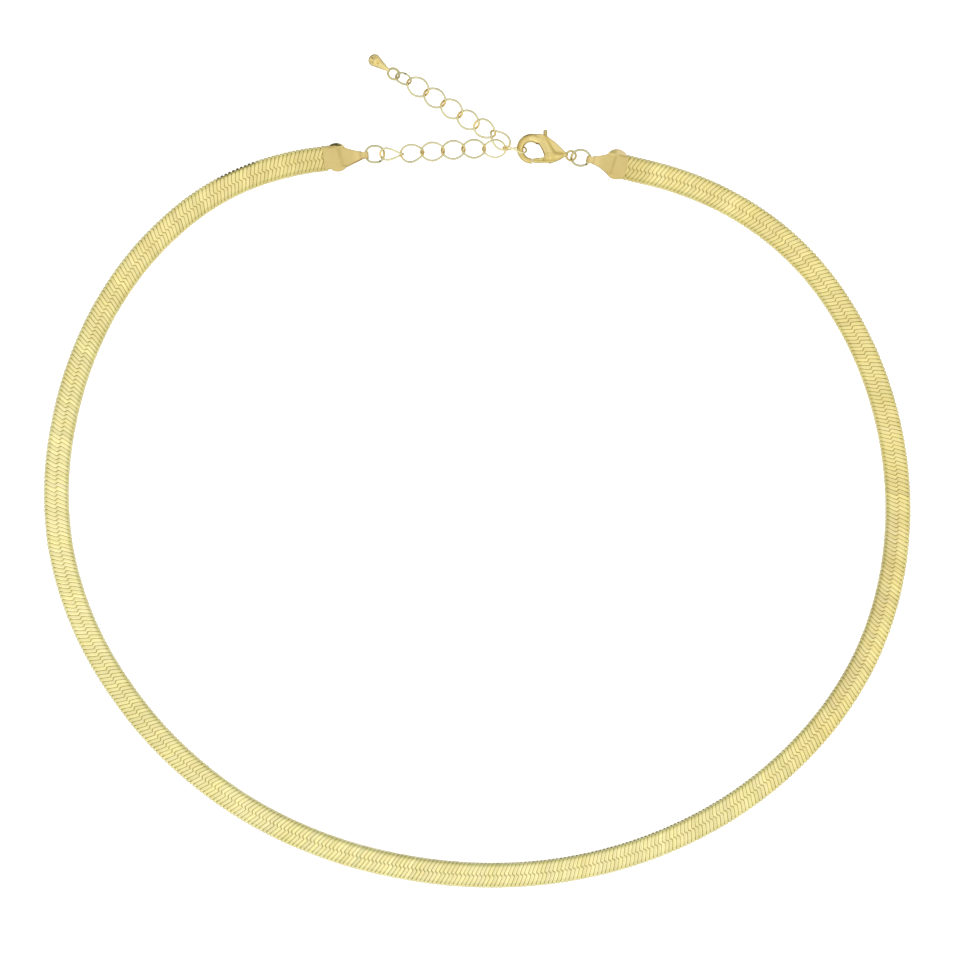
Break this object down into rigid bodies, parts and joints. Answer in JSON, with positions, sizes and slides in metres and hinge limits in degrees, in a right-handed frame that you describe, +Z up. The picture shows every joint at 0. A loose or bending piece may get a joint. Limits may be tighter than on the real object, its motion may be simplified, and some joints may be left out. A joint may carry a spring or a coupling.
{
  "type": "flat chain necklace",
  "caption": "Flat herringbone chain necklace in gold-plated metal, fastened by a lobster clasp on a curb-link extender with an end drop, lying flat.",
  "frame": {"origin": "middle of the neck opening, on the surface the necklace lies on", "axes": "+Z up out of the surface; +Y from the front of the band towards the clasp; +X to the right in the picture, towards the end cap beside the clasp"},
  "size_m": [0.1496, 0.1437, 0.0034],
  "materials": {
    "band_gold": "polished pale gold plating",
    "cap_gold": "satin gold plating",
    "wire_gold": "polished gold plating on wire",
    "cast_gold": "polished gold plating on castings"
  },
  "bodies": {
    "necklace": {"herringbone_band": "band_gold", "end_cap_left": "cap_gold", "end_cap_right": "cap_gold", "jump_ring_left": "wire_gold", "jump_ring_right": "wire_gold", "extender_link_01": "wire_gold", "extender_link_02": "wire_gold", "extender_link_03": "wire_gold", "extender_link_04": "wire_gold", "extender_link_05": "wire_gold", "extender_link_06": "wire_gold", "extender_link_07": "wire_gold", "extender_link_08": "wire_gold", "extender_link_09": "wire_gold", "extender_link_10": "wire_gold", "extender_link_11": "wire_gold", "extender_link_12": "wire_gold", "extender_link_13": "wire_gold", "jump_ring_small": "wire_gold", "extender_drop": "cast_gold", "clasp_body": "cast_gold"},
    "lever": {"clasp_lever": "cast_gold"}
  },
  "joints": [
    {"name": "clasp_lever_pivot", "type": "hinge", "parent": "necklace", "child": "lever", "pos_m": [0.01303, 0.06175, 0.0013], "axis": [0, 0, -1], "range_deg": [0, 22], "stiffness_Nm_per_rad": 0.002, "springref_deg": -2.86}
  ]
}
